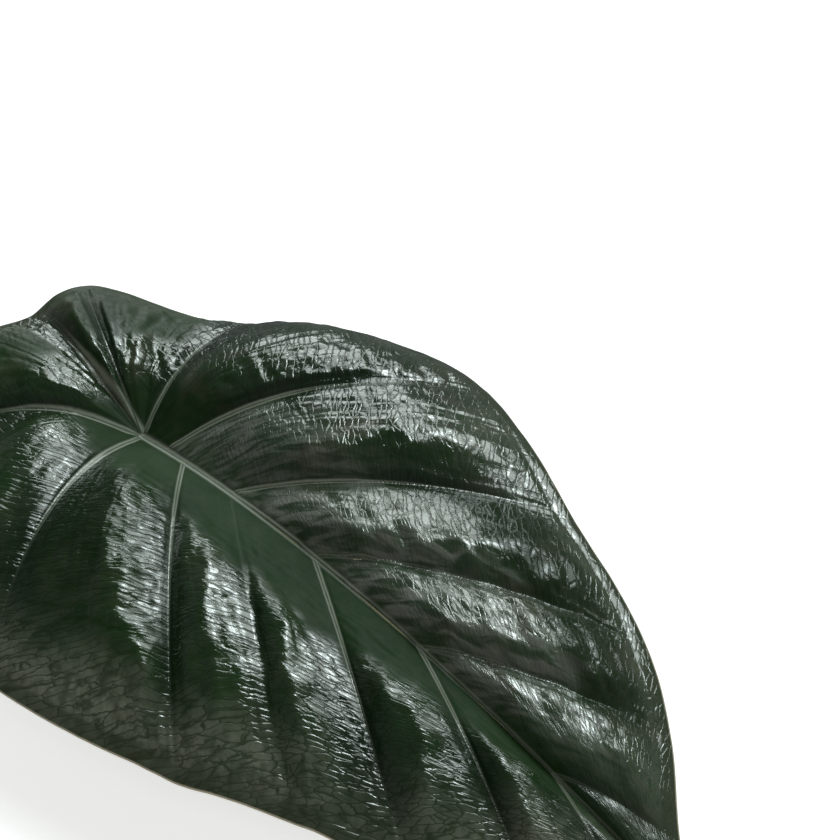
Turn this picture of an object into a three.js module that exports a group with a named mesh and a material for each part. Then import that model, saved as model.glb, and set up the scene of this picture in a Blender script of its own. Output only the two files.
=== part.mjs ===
import * as THREE from 'three';

// One picked leaf of a peltate alocasia, lying underside down.
// Millimetres, Z up. The tip points toward -Y and the cut end of the stalk toward +Y.

// Size of the blade, measured from the point where the stalk joins it
const TIP_REACH = 348;
const MIDRIB_ARCH = 20;
const TIP_DROP = -25;
const BLADE_THICKNESS = 1.2;

// Relief of the blade: panels swell between sunken veins, ribs stand out beneath
const QUILT_HEIGHT = 6.5;
const VEIN_GROOVE = 0.9;
const EDGE_GROOVE = 0.8;
const MIDRIB_DEPTH = 5.5;
const RIB_DEPTH = 2.6;
const RIB_BOW = 6;
const COLLAR_RADIUS = 6;
const COLLAR_FLARE = 10;

// Underside of the stalk joint, below the upper face there
const JOINT_LEVEL = -BLADE_THICKNESS - MIDRIB_DEPTH;

// Stalk
const STALK_RADIUS_TOP = 5.2;
const STALK_RADIUS_CUT = 4.6;
const STALK_BEND = 12;
const STALK_REACH = 128;
const SEAT_GAP = 0.3;

// Where each pair of veins leaves the midrib, from the stalk joint to the tip
const LEAVES_MIDRIB = [0, 0, 0, 0, 0, 18, 40, 80, 142, 208, 280, TIP_REACH];

// Each row: forward, sideways and height of the vein's end on the edge, rise of its arch, strength.
// The first row is the notch behind the stalk joint and the last row is the tip.
const RIGHT_VEINS = [
  [-99, 0, 26, 16, 0.9],
  [-104, 36, 23, 20, 0.5],
  [-80, 84, -19.02, 11, 0.3],
  [-20, 125, -24.05, 21, 0.3],
  [48, 137, -14, 24, 0.2],
  [108, 127, 2, 26, 1.0],
  [151, 113, 4, 20, 0.5],
  [197, 95, 0, 12, 1.0],
  [262, 69, -9, 5, 1.0],
  [296, 45, -14, 1, 0.9],
  [325, 17, -20, 0, 0.7],
  [TIP_REACH, 0, TIP_DROP, 0, 1.0],
];
const LEFT_VEINS = [
  [-99, 0, 26, 16, 0.9],
  [-105, 30, 26, 20, 0.3],
  [-78, 86, -4, 26, 0.9],
  [-16, 127, -26.93, 31, 0.2],
  [82, 129, 5, 27, 0.9],
  [134, 118, 5, 23, 0.2],
  [182, 101, 2, 20, 1.0],
  [226, 80, -2, 12, 0.4],
  [269, 62, -9, 4, 1.0],
  [304, 36, -15, 1, 0.9],
  [329, 14, -21, 0, 0.7],
  [TIP_REACH, 0, TIP_DROP, 0, 1.0],
];

// Folds across each half, as place among the veins and level: 0 is the bottom of a valley, 1 a crest
const RIGHT_FOLDS = [
  [0, 0.1], [0.5, 0.8], [1, 0], [1.88, 1], [2.63, 0], [3.88, 1], [5, 0], [5.5, 0.9], [6, 0.55],
  [6.5, 1], [7, 0], [7.5, 1], [8, 0], [8.5, 1], [9, 0.05], [9.5, 1], [10, 0.2], [10.5, 1], [11, 0],
];
const LEFT_FOLDS = [
  [0, 0.1], [1.37, 1], [2, 0.1], [3.12, 1.1], [4, 0], [5.12, 1.2], [6, 0], [6.46, 1], [7, 0.5],
  [7.5, 1], [8, 0], [8.5, 1], [9, 0.05], [9.5, 1], [10, 0.2], [10.5, 1], [11, 0],
];

// Steps of the mesh from one vein to the next, and from the midrib out to the edge
const ACROSS = [0, 0.12, 0.37, 0.63, 0.88];
const OUTWARD = [0, 0.05, 0.11, 0.18, 0.26, 0.35, 0.45, 0.55, 0.65, 0.74, 0.82, 0.885, 0.93, 0.965, 1];

const STALK_COLOUR = 0x8a9a63;
const BLADE_COLOUR = 0x24402a;

const smooth = (t) => THREE.MathUtils.smoothstep(t, 0, 1);
const mix = THREE.MathUtils.lerp;

function midribHeight(along) {
  const part = along / TIP_REACH;
  return 4 * MIDRIB_ARCH * part * (1 - part) + TIP_DROP * part * part;
}

// How much of the full swelling a panel has, from the midrib (0) to the edge (1)
function swelling(outward) {
  const rise = smooth((outward - 0.02) / 0.34);
  const fall = 1 - 0.72 * smooth((outward - 0.6) / 0.34);
  return rise * fall;
}

// Level of the folds at a place among the veins: sharp in the valleys, rounded on the crests
function foldLevel(folds, place) {
  const next = Math.max(1, folds.findIndex((fold) => fold[0] >= place));
  const [before, first] = folds[next - 1];
  const [after, second] = folds[next];
  const share = (place - before) / (after - before);
  const fromValley = second > first ? share : 1 - share;
  const climb = 1 - Math.pow(1 - fromValley, 1.4);
  return mix(Math.min(first, second), Math.max(first, second), climb);
}

// One half of the blade as rows of paired top and under points
function halfBlade(veins, folds, side) {
  const ends = veins.map((v) => new THREE.Vector3(side * v[1], -v[0], v[2]));
  const edge = new THREE.CatmullRomCurve3(ends);
  const last = veins.length - 1;
  const rows = [];
  for (let k = 0; k <= last; k += 1) {
    for (const step of ACROSS) {
      if (k === last && step > 0) {
        break;
      }
      const next = Math.min(k + 1, last);
      const start = mix(LEAVES_MIDRIB[k], LEAVES_MIDRIB[next], step);
      const arch = mix(veins[k][3], veins[next][3], step);
      const level = foldLevel(folds, k + step);
      const onVein = step === 0 ? veins[k][4] : 0;
      const from = new THREE.Vector3(0, -start, midribHeight(start));
      const to = edge.getPoint((k + step) / last);
      const bow = start > 0 ? RIB_BOW * smooth((TIP_REACH - start) / 120) : 0;
      const turn = from.clone().add(to).multiplyScalar(0.5);
      turn.y -= bow;
      const curve = new THREE.QuadraticBezierCurve3(from, turn, to);
      const breadth = Math.min(1, from.distanceTo(to) / 90);
      rows.push(OUTWARD.map((outward) => {
        const point = curve.getPoint(outward);
        const slope = from.z + (to.z - from.z) * outward * outward;
        const quilt = QUILT_HEIGHT * breadth * swelling(outward) * level;
        const groove = VEIN_GROOVE * breadth * onVein * smooth(outward / 0.1) * (1 - outward);
        const rim = outward === 0.93 ? EDGE_GROOVE * breadth : 0;
        const top = slope + arch * 4 * outward * (1 - outward) + quilt - groove - rim;
        const midrib = MIDRIB_DEPTH * (1 - start / TIP_REACH);
        const rib = outward === 0 ? midrib : RIB_DEPTH * onVein * (1 - outward) * breadth;
        const collar = 1 - smooth((Math.hypot(point.x, point.y) - COLLAR_RADIUS) / COLLAR_FLARE);
        const under = mix(top - BLADE_THICKNESS - rib, JOINT_LEVEL, collar);
        return {
          top: new THREE.Vector3(point.x, point.y, top),
          under: new THREE.Vector3(point.x, point.y, under),
        };
      }));
    }
  }
  return rows;
}

function leafBlade() {
  const corners = [];
  const triangle = (a, b, c) => {
    const span = new THREE.Triangle(a, b, c);
    if (span.getArea() > 1e-4) {
      corners.push(a, b, c);
    }
  };
  for (const side of [1, -1]) {
    const [veins, folds] = side > 0 ? [RIGHT_VEINS, RIGHT_FOLDS] : [LEFT_VEINS, LEFT_FOLDS];
    const rows = halfBlade(veins, folds, side);
    const face = (a, b, c) => (side > 0 ? triangle(a, b, c) : triangle(a, c, b));
    for (let i = 0; i + 1 < rows.length; i += 1) {
      for (let j = 0; j + 1 < OUTWARD.length; j += 1) {
        const [a, b, c, d] = [rows[i][j], rows[i][j + 1], rows[i + 1][j + 1], rows[i + 1][j]];
        face(a.top, c.top, b.top);
        face(a.top, d.top, c.top);
        face(a.under, b.under, c.under);
        face(a.under, c.under, d.under);
      }
      const [p, q] = [rows[i].at(-1), rows[i + 1].at(-1)];
      face(p.top, q.top, q.under);
      face(p.top, q.under, p.under);
    }
  }
  const geometry = new THREE.BufferGeometry();
  geometry.setAttribute('position', new THREE.Float32BufferAttribute(corners.flatMap((v) => v.toArray()), 3));
  return geometry;
}

// The stalk leaves the joint downward, bends back and lies along the surface
function stalk(topHeight) {
  const round = 20;
  const stations = [];
  const straight = topHeight - STALK_RADIUS_TOP - STALK_BEND;
  stations.push([0, topHeight, 0, STALK_RADIUS_TOP]);
  for (let i = 0; i <= 8; i += 1) {
    const angle = (i / 8) * Math.PI / 2;
    const back = STALK_BEND * (1 - Math.cos(angle));
    stations.push([back, topHeight - straight - STALK_BEND * Math.sin(angle), angle, STALK_RADIUS_TOP]);
  }
  for (let i = 1; i <= 10; i += 1) {
    const radius = mix(STALK_RADIUS_TOP, STALK_RADIUS_CUT, i / 10);
    stations.push([mix(STALK_BEND, STALK_REACH, i / 10), radius, Math.PI / 2, radius]);
  }
  const rings = stations.map(([back, height, angle, radius]) => {
    return Array.from({ length: round }, (_, m) => {
      const turn = (m / round) * 2 * Math.PI;
      const lift = radius * Math.sin(turn);
      return new THREE.Vector3(
        radius * Math.cos(turn),
        back + lift * Math.cos(angle),
        height + lift * Math.sin(angle),
      );
    });
  });
  const corners = [];
  for (let n = 0; n + 1 < rings.length; n += 1) {
    for (let m = 0; m < round; m += 1) {
      const o = (m + 1) % round;
      corners.push(rings[n][m], rings[n + 1][o], rings[n][o]);
      corners.push(rings[n][m], rings[n + 1][m], rings[n + 1][o]);
    }
  }
  for (let m = 1; m + 1 < round; m += 1) {
    corners.push(rings[0][0], rings[0][m], rings[0][m + 1]);
    corners.push(rings.at(-1)[0], rings.at(-1)[m + 1], rings.at(-1)[m]);
  }
  const geometry = new THREE.BufferGeometry();
  geometry.setAttribute('position', new THREE.Float32BufferAttribute(corners.flatMap((v) => v.toArray()), 3));
  return geometry;
}

// The two pieces stand on z = 0, centred on their common box
const bladeShape = leafBlade();
bladeShape.computeBoundingBox();
const jointHeight = -bladeShape.boundingBox.min.z;
bladeShape.translate(0, 0, jointHeight);
const stalkShape = stalk(jointHeight + JOINT_LEVEL - SEAT_GAP);
stalkShape.computeBoundingBox();
const middle = bladeShape.boundingBox.union(stalkShape.boundingBox).getCenter(new THREE.Vector3());

const leaf = new THREE.Group();
leaf.name = 'alocasia_leaf';

bladeShape.translate(-middle.x, -middle.y, 0);
bladeShape.computeVertexNormals();
const blade = new THREE.Mesh(
  bladeShape,
  new THREE.MeshStandardMaterial({ color: BLADE_COLOUR, roughness: 0.3, metalness: 0 }),
);
blade.name = 'leaf_blade';
leaf.add(blade);

stalkShape.translate(-middle.x, -middle.y, 0);
stalkShape.computeVertexNormals();
const petiole = new THREE.Mesh(
  stalkShape,
  new THREE.MeshStandardMaterial({ color: STALK_COLOUR, roughness: 0.5, metalness: 0 }),
);
petiole.name = 'petiole';
leaf.add(petiole);

export default leaf;
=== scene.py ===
import math
from types import SimpleNamespace

import bpy
import numpy as np
from mathutils import Matrix, Vector


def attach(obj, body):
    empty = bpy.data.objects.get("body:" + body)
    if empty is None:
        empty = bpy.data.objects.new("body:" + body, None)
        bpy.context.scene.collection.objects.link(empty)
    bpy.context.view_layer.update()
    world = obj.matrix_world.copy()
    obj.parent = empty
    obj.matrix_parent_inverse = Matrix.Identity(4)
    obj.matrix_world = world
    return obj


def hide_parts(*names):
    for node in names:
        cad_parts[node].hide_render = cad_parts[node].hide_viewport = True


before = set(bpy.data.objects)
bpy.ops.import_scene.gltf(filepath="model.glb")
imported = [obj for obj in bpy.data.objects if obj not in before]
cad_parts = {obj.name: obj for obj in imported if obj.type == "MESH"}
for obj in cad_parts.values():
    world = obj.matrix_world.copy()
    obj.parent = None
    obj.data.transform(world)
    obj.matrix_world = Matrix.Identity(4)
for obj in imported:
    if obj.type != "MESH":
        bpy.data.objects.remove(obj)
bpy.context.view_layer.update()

# Sizes are in millimetres until a mesh is made
MM = 0.001
FAR = 1e9

# Place of the joint between stalk and blade, on the upper face
JOINT = np.array([-2.419, 110.0, 26.208])

# Size of the blade, measured from the joint
TIP_REACH = 348.0
MIDRIB_ARCH = 20.0
TIP_DROP = -25.0
FULL_BREADTH = 90.0
THICKNESS = 1.2
EDGE_THICKNESS = 0.55
EDGE_TAPER = 7.0

# Folds of the panels between the veins
QUILT_HEIGHT = 8.5
RIB_BOW = 6.0
BOW_FADE = 120.0

# Ribs below the blade and the collar round the joint
MIDRIB_DEPTH = 5.5
RIB_DEPTH = 2.6
RIB_SIDES = 14
FAINTEST_RIB = 0.3
MIDRIB_FROM = 4.15
MIDRIB_TO = 10.9
COLLAR_RADIUS = 6.0
COLLAR_FLARE = 10.0
JOINT_LEVEL = -THICKNESS - MIDRIB_DEPTH

# Veins of the upper face
VEIN_DEPTH = 0.55
VEIN_CORD = 0.22
MIDRIB_WIDTH = 2.8
MIDRIB_SINK = 0.45
MIDRIB_CORD = 0.25
SECONDARY_SPACING = 13.0
SECONDARY_DEPTH = 0.3

# Skin of the panels
LADDER_SPACING = 7.6
LADDER_HEIGHT = 0.40
STREAK_HEIGHT = 0.17
COMBED_HEIGHT = 0.3
CRUMPLE_HEIGHT = 0.11

# Edge of the blade: teeth, the collecting vein inside it, and the lip
TEETH_SPACING = 4.8
TEETH_HEIGHT = 0.34
COLLECTING_VEIN = 6.2
COLLECTING_DEPTH = 0.6
RIPPLE_HEIGHT = 0.30
LIP_DROP = 0.45

# Stalk
STALK_TOP = 5.2
STALK_CUT = 4.6
STALK_BEND = 12.0
STALK_REACH = 128.0
STALK_SWELLING = 1.4
STALK_SIDES = 110
STALK_FLUTES = 22
STALK_FLUTE_DEPTH = 0.012

# Where each pair of veins leaves the midrib, from the joint to the tip
LEAVES_MIDRIB = np.array([0, 0, 0, 0, 0, 18, 40, 80, 142, 208, 280, TIP_REACH])
PANELS = len(LEAVES_MIDRIB) - 1
LAST_AT_JOINT = 4.0

# Rows of the mesh in each panel, and columns from the midrib to the edge; all even
ROWS_IN_PANEL = [22, 36, 44, 48, 44, 30, 28, 28, 24, 20, 16]
FIRST_ROW = np.concatenate([[0], np.cumsum(ROWS_IN_PANEL)])
COLUMNS = 104

# Veins that run between two stations get a row of their own
VEINS_BETWEEN = (0.22, 2.63, 5.22)

# Kinds of face, numbered as the finishes of the blade
UPPER = 0
UNDER = 1

# How many rows away an edge or a vein may still be the nearest
EDGE_SEARCH = 26
VEIN_SEARCH = 70

# The painted sheen, a pale grey film standing in for a reflection, reaches this far from the midrib:
# station, reach
PAINTED_SHEEN_REACH = [(5, 0.28), (6.5, 0.32), (7.2, 0.42), (8, 0.55), (11, 0.55)]

# What each half of the blade holds:
# stations: forward, sideways and height of the end on the edge, rise of the arch
# folds: station near the midrib, halfway and near the edge, and the level there (0 valley, 1 crest)
# veins: station, strength, half width near the midrib, how clearly it shows above
# swell_from, gloss_from, polish, painted_sheen: station, value
# shade_patch_end_drift: how far the outer end of the painted shade patches wanders
# large_dents, small_dents: heights
# other zones: where they start, how long they take to rise, where they end, how long to fall
RIGHT = SimpleNamespace(
    side=1,
    seed=7,
    stations=np.array([
        [-99, 0, 26, 16],
        [-104, 36, 23, 20],
        [-80, 84, -19.02, 11],
        [-20, 125, -24.05, 21],
        [48, 137, -14, 24],
        [108, 127, 2, 26],
        [151, 113, 4, 20],
        [197, 95, 0, 12],
        [262, 69, -9, 5],
        [296, 45, -14, 1],
        [325, 17, -20, 0],
        [TIP_REACH, 0, TIP_DROP, 0],
    ]),
    folds=np.array([
        [0, 0, 0, 0.3], [0.24, 0.22, 0.1, 0.1], [0.62, 0.6, 0.55, 0.8], [1, 1, 1, 0],
        [1.62, 1.7, 1.8, 1], [2.63, 2.63, 2.63, 0], [4.1, 4.1, 3.95, 1], [5.25, 5.25, 5.1, 0],
        [6.6, 6.55, 6.4, 1], [7, 7, 7, 0], [7.74, 7.72, 7.6, 1], [8, 8, 8, 0.3],
        [8.74, 8.72, 8.6, 1], [9, 9, 9, 0.3], [9.7, 9.68, 9.6, 1], [10, 10, 10, 0.2],
        [10.55, 10.55, 10.5, 1], [11, 11, 11, 0],
    ]),
    veins=[
        (0.22, 1.0, 5.0, 1.0), (1, 0.45, 0.9, 1.0), (2.63, 1.0, 2.6, 1.0), (4, 0.12, 0.6, 1.0),
        (5.22, 1.0, 2.2, 1.0), (6, 0.5, 0.9, 0.5), (7, 1.0, 1.8, 0.85), (8, 1.0, 1.3, 0.42),
        (9, 0.9, 1.1, 0.42), (10, 0.7, 0.9, 0.5),
    ],
    swell_from=[(0, 0.02), (6.5, 0.02), (7.2, -0.06), (11, -0.06)],
    gloss_from=[(0, 0.14), (2.5, 0.16), (5, 0.2), (5.4, 0.05), (7, 0.02), (11, 0.02)],
    polish=[(2, 0.95), (2.63, 0.8), (5.1, 0.8), (5.6, 1), (11, 1)],
    painted_sheen=[
        (5.2, 0), (5.5, 1), (5.9, 0.75), (6.7, 0.45), (7, 0.6), (7.3, 1), (7.7, 0.75), (8, 0.6),
        (8.35, 1), (8.7, 0.8), (9, 0.6), (9.3, 0.8), (9.9, 0),
    ],
    back_lobe=(0.3, 0.2, 2.2, 0.3),
    shade_patch_rows=(6.9, 0.3, 9.0, 0.5),
    shade_patch_reach=(0.58, 0.09, 0.87, 0.08),
    shade_patch_end_drift=0.0,
    wide_panel=(4.3, 0.2, 4.9, 0.2),
    plain=(2.8, 0.3, 4.1, 0.3),
    combed=(5.2, 0.3, 7.5, 0.5),
    deep_dents=(7.2, 0.4, 9.4, 0.4),
    large_dents=1.5,
    small_dents=0.5,
)
LEFT = SimpleNamespace(
    side=-1,
    seed=8,
    stations=np.array([
        [-99, 0, 26, 16],
        [-105, 30, 26, 20],
        [-78, 86, -4, 26],
        [-16, 127, -26.93, 31],
        [82, 129, 5, 27],
        [134, 118, 5, 23],
        [182, 101, 2, 20],
        [226, 80, -2, 12],
        [269, 62, -9, 4],
        [304, 36, -15, 1],
        [329, 14, -21, 0],
        [TIP_REACH, 0, TIP_DROP, 0],
    ]),
    folds=np.array([
        [0, 0, 0, 0.3], [1.45, 1.45, 1.45, 1], [2, 2, 2, 0.1], [3.0, 3.3, 3.6, 1.1], [4, 4, 4, 0],
        [5.0, 5.05, 5.7, 1.2], [6, 6, 6, 0], [6.48, 6.48, 6.48, 1], [7.04, 7.04, 7.04, 0.35],
        [7.33, 7.33, 7.28, 1.0], [7.68, 7.68, 7.68, 0.2], [8, 8, 8, 0], [8.42, 8.42, 8.42, 1],
        [8.8, 8.8, 8.8, 0.45], [9, 9, 9, 0.05], [9.3, 9.3, 9.3, 0.8], [10, 10, 10, 0.1],
        [10.4, 10.4, 10.4, 0.8], [11, 11, 11, 0],
    ]),
    veins=[
        (1, 0.3, 1.2, 1.0), (2, 0.9, 3.4, 1.0), (3, 0.12, 0.6, 1.0), (4, 0.9, 2.4, 1.0),
        (5, 0.14, 0.6, 1.0), (6, 1.0, 1.6, 0.8), (7, 0.4, 0.8, 0.7), (8, 1.0, 1.5, 0.8),
        (9, 0.9, 1.3, 0.8), (10, 0.7, 1.0, 0.8),
    ],
    swell_from=[(0, 0.02), (5, 0.08), (6.5, 0.16), (7.5, 0.24), (11, 0.2)],
    gloss_from=[(0, 0.12), (4, 0.14), (5, 0.18), (6.5, 0.24), (7.5, 0.34), (9, 0.28), (11, 0.24)],
    polish=[(1.8, 0.9), (2.2, 0.85), (3.8, 0.85), (4.2, 0.7), (5.8, 0.7), (6.2, 0.95), (11, 0.95)],
    painted_sheen=[(0, 0), (11, 0)],
    back_lobe=(0.2, 0.2, 1.5, 0.3),
    shade_patch_rows=(3.9, 0.3, 4.9, 0.4),
    shade_patch_reach=(0.2, 0.1, 0.6, 0.2),
    shade_patch_end_drift=1.0,
    wide_panel=(4.9, 0.3, 5.9, 0.1),
    plain=None,
    combed=None,
    deep_dents=None,
    large_dents=0.7,
    small_dents=0.34,
)

# Colours of the upper face
DEEP_GREEN = (0.0058, 0.0200, 0.0045)
FRESH_GREEN = (0.0110, 0.0290, 0.0080)
MOTTLE_GREEN = (0.018, 0.031, 0.013)
STREAK_GREEN = (0.026, 0.033, 0.020)
FINE_VEIN_GREEN = (0.034, 0.044, 0.024)
TAN = (0.050, 0.041, 0.030)
# Net by the edge: its lines are the leaf's own, the pale olive of its cells is painted sheen
SHEEN_NET_LINE = (0.046, 0.053, 0.035)
SHEEN_NET_CELL = (0.165, 0.178, 0.134)
NET_GREY = (0.070, 0.074, 0.060)
# Painted sheen: pale grey laid on the inner right panels in place of a reflection
PAINTED_SHEEN_GREY = (0.128, 0.138, 0.118)
# Painted shade: near black green in the fold valleys and on panels turned away from the light
PAINTED_SHADE_GREEN = (0.004, 0.009, 0.0035)
LIP_GREEN = (0.022, 0.029, 0.014)
VEIN_PALE = (0.190, 0.210, 0.165)
VEIN_DARK = (0.014, 0.022, 0.011)
MIDRIB_PALE = (0.170, 0.190, 0.145)
MIDRIB_DARK = (0.022, 0.032, 0.018)
EDGE_LINE = (0.30, 0.27, 0.20)

# Colours of the lower face and its ribs
UNDER_GREEN = (0.070, 0.105, 0.050)
UNDER_PALE = (0.115, 0.135, 0.072)
UNDER_SPOT = (0.130, 0.120, 0.075)
UNDER_NET = (0.19, 0.205, 0.12)
UNDER_FINE_VEIN = (0.22, 0.23, 0.135)
UNDER_VEIN = (0.26, 0.27, 0.16)
UNDER_EDGE = (0.42, 0.38, 0.28)
RIB_GREEN = (0.23, 0.26, 0.14)
RIB_PALE = (0.30, 0.29, 0.175)
RIB_SPOT = (0.17, 0.15, 0.085)

# Colours of the stalk
STALK_GREEN = (0.155, 0.215, 0.085)
STALK_PALE = (0.245, 0.285, 0.135)
STALK_SPOT = (0.120, 0.105, 0.055)
STALK_NECK = (0.27, 0.24, 0.14)
STALK_DRIED = (0.20, 0.135, 0.07)
STALK_PITH = (0.36, 0.31, 0.19)

# Floor and studio
FLOOR_GREY = (0.66, 0.66, 0.66)
FLOOR_PALE = (0.70, 0.70, 0.70)
WHITE = (1.0, 1.0, 1.0)
COOL_WHITE = (0.90, 0.95, 1.0)

# Camera at the photograph's viewing angle and framing
PHOTO_WIDTH = 840
FOCAL = 1470.1
ELEVATION = math.radians(40.35)
AZIMUTH = math.radians(-33.04)
ROLL = math.radians(-11.97)
CAMERA_PLACE = Vector((-192.7, -425.1, 469.7)) * MM


def smooth(t):
    t = np.clip(t, 0.0, 1.0)
    return t * t * (3.0 - 2.0 * t)


def between(t, start, rise, end, fall):
    """1 within a stretch and 0 outside it, with soft ends."""
    return smooth((t - start) / rise) * (1 - smooth((t - end) / fall))


def bell(t):
    return np.exp(-(t**2))


def sway(x, y, seed):
    """Soft irregular waves between -1 and 1 over a plane, the same on every run."""
    turn = np.random.default_rng(seed).uniform(0.0, 2.0 * math.pi, (6, 2))
    total = 0.0
    for k in range(6):
        heading = turn[k, 0]
        pace = 1.0 + 0.37 * k
        line = x * math.cos(heading) + y * math.sin(heading)
        total = total + np.sin(pace * line + turn[k, 1]) / (1.0 + 0.25 * k)
    return total / 3.2


def row_positions():
    """Place of each row of the mesh along the edge: 0 is the notch, 11 the tip. Close at the veins."""
    rows = []
    for panel, count in enumerate(ROWS_IN_PANEL):
        even = np.arange(count) / count
        rows.append(panel + even - 0.5 * np.sin(2 * math.pi * even) / (2 * math.pi))
    rows = np.append(np.concatenate(rows), float(PANELS))
    for place in VEINS_BETWEEN:
        rows[np.argmin(np.abs(rows - place))] = place
    return rows


def column_positions():
    """Place of each column from the midrib (0) to the edge (1). Close at both ends."""
    even = np.arange(COLUMNS + 1) / COLUMNS
    return even - 0.35 * np.sin(2 * math.pi * even) / (2 * math.pi)


ROW_AT = row_positions()
OUT_AT = column_positions()
ROWS = len(ROW_AT)


def nearest_row(place):
    return int(np.argmin(np.abs(ROW_AT - place)))


def along_edge(knots):
    """The value for each row of the mesh, from pairs of station and value."""
    return np.interp(ROW_AT, *zip(*knots))[:, None]


def zone(ends):
    """1 for the rows inside a stretch of stations and 0 outside it, or everywhere 0 without one."""
    if ends is None:
        return np.zeros((ROWS, 1))
    return between(ROW_AT, *ends)[:, None]


def edge_points(ends, t):
    """Points on a smooth curve through the vein ends; whole values of t are the ends themselves."""
    before = 2.0 * ends[0] - ends[1]
    after = 2.0 * ends[-1] - ends[-2]
    p = np.vstack([before, ends, after])
    k = np.minimum(t.astype(int), len(ends) - 2)
    w = (t - k)[:, None]
    x0, x1, x2, x3 = p[k], p[k + 1], p[k + 2], p[k + 3]

    def gap(a, b):
        return np.sqrt(np.linalg.norm(b - a, axis=1))[:, None]

    d0, d1, d2 = gap(x0, x1), gap(x1, x2), gap(x2, x3)
    m1 = ((x1 - x0) / d0 - (x2 - x0) / (d0 + d1) + (x2 - x1) / d1) * d1
    m2 = ((x2 - x1) / d1 - (x3 - x1) / (d1 + d2) + (x3 - x2) / d2) * d1
    c2 = -3 * x1 + 3 * x2 - 2 * m1 - m2
    c3 = 2 * x1 - 2 * x2 + m1 + m2
    return x1 + m1 * w + c2 * w**2 + c3 * w**3


def midrib_height(along):
    part = along / TIP_REACH
    return 4 * MIDRIB_ARCH * part * (1 - part) + TIP_DROP * part**2


def gap_to_line(px, py, ax, ay, bx, by):
    """Distance in plan from points to the pieces of line from a to b."""
    dx, dy = bx - ax, by - ay
    size = np.maximum(dx * dx + dy * dy, 1e-12)
    along = np.clip(((px - ax) * dx + (py - ay) * dy) / size, 0.0, 1.0)
    return np.hypot(px - ax - along * dx, py - ay - along * dy)


def fold_level(t, a, folds):
    """Level of the folded surface along one line across the panels, at reach a from the midrib."""
    place = np.array([np.interp(a, [0.25, 0.5, 0.8], fold[:3]) for fold in folds])
    n = np.clip(np.searchsorted(place, t, side="right") - 1, 0, len(folds) - 2)
    share = (t - place[n]) / (place[n + 1] - place[n])
    first, second = folds[n, 3], folds[n + 1, 3]
    from_valley = np.where(second > first, share, 1 - share)
    soft = smooth((a - 0.7) / 0.3)
    ramp = (1 - soft) * (1 - (1 - from_valley) ** 1.2) + soft * smooth(from_valley)
    low, high = np.minimum(first, second), np.maximum(first, second)
    return low + (high - low) * ramp


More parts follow.
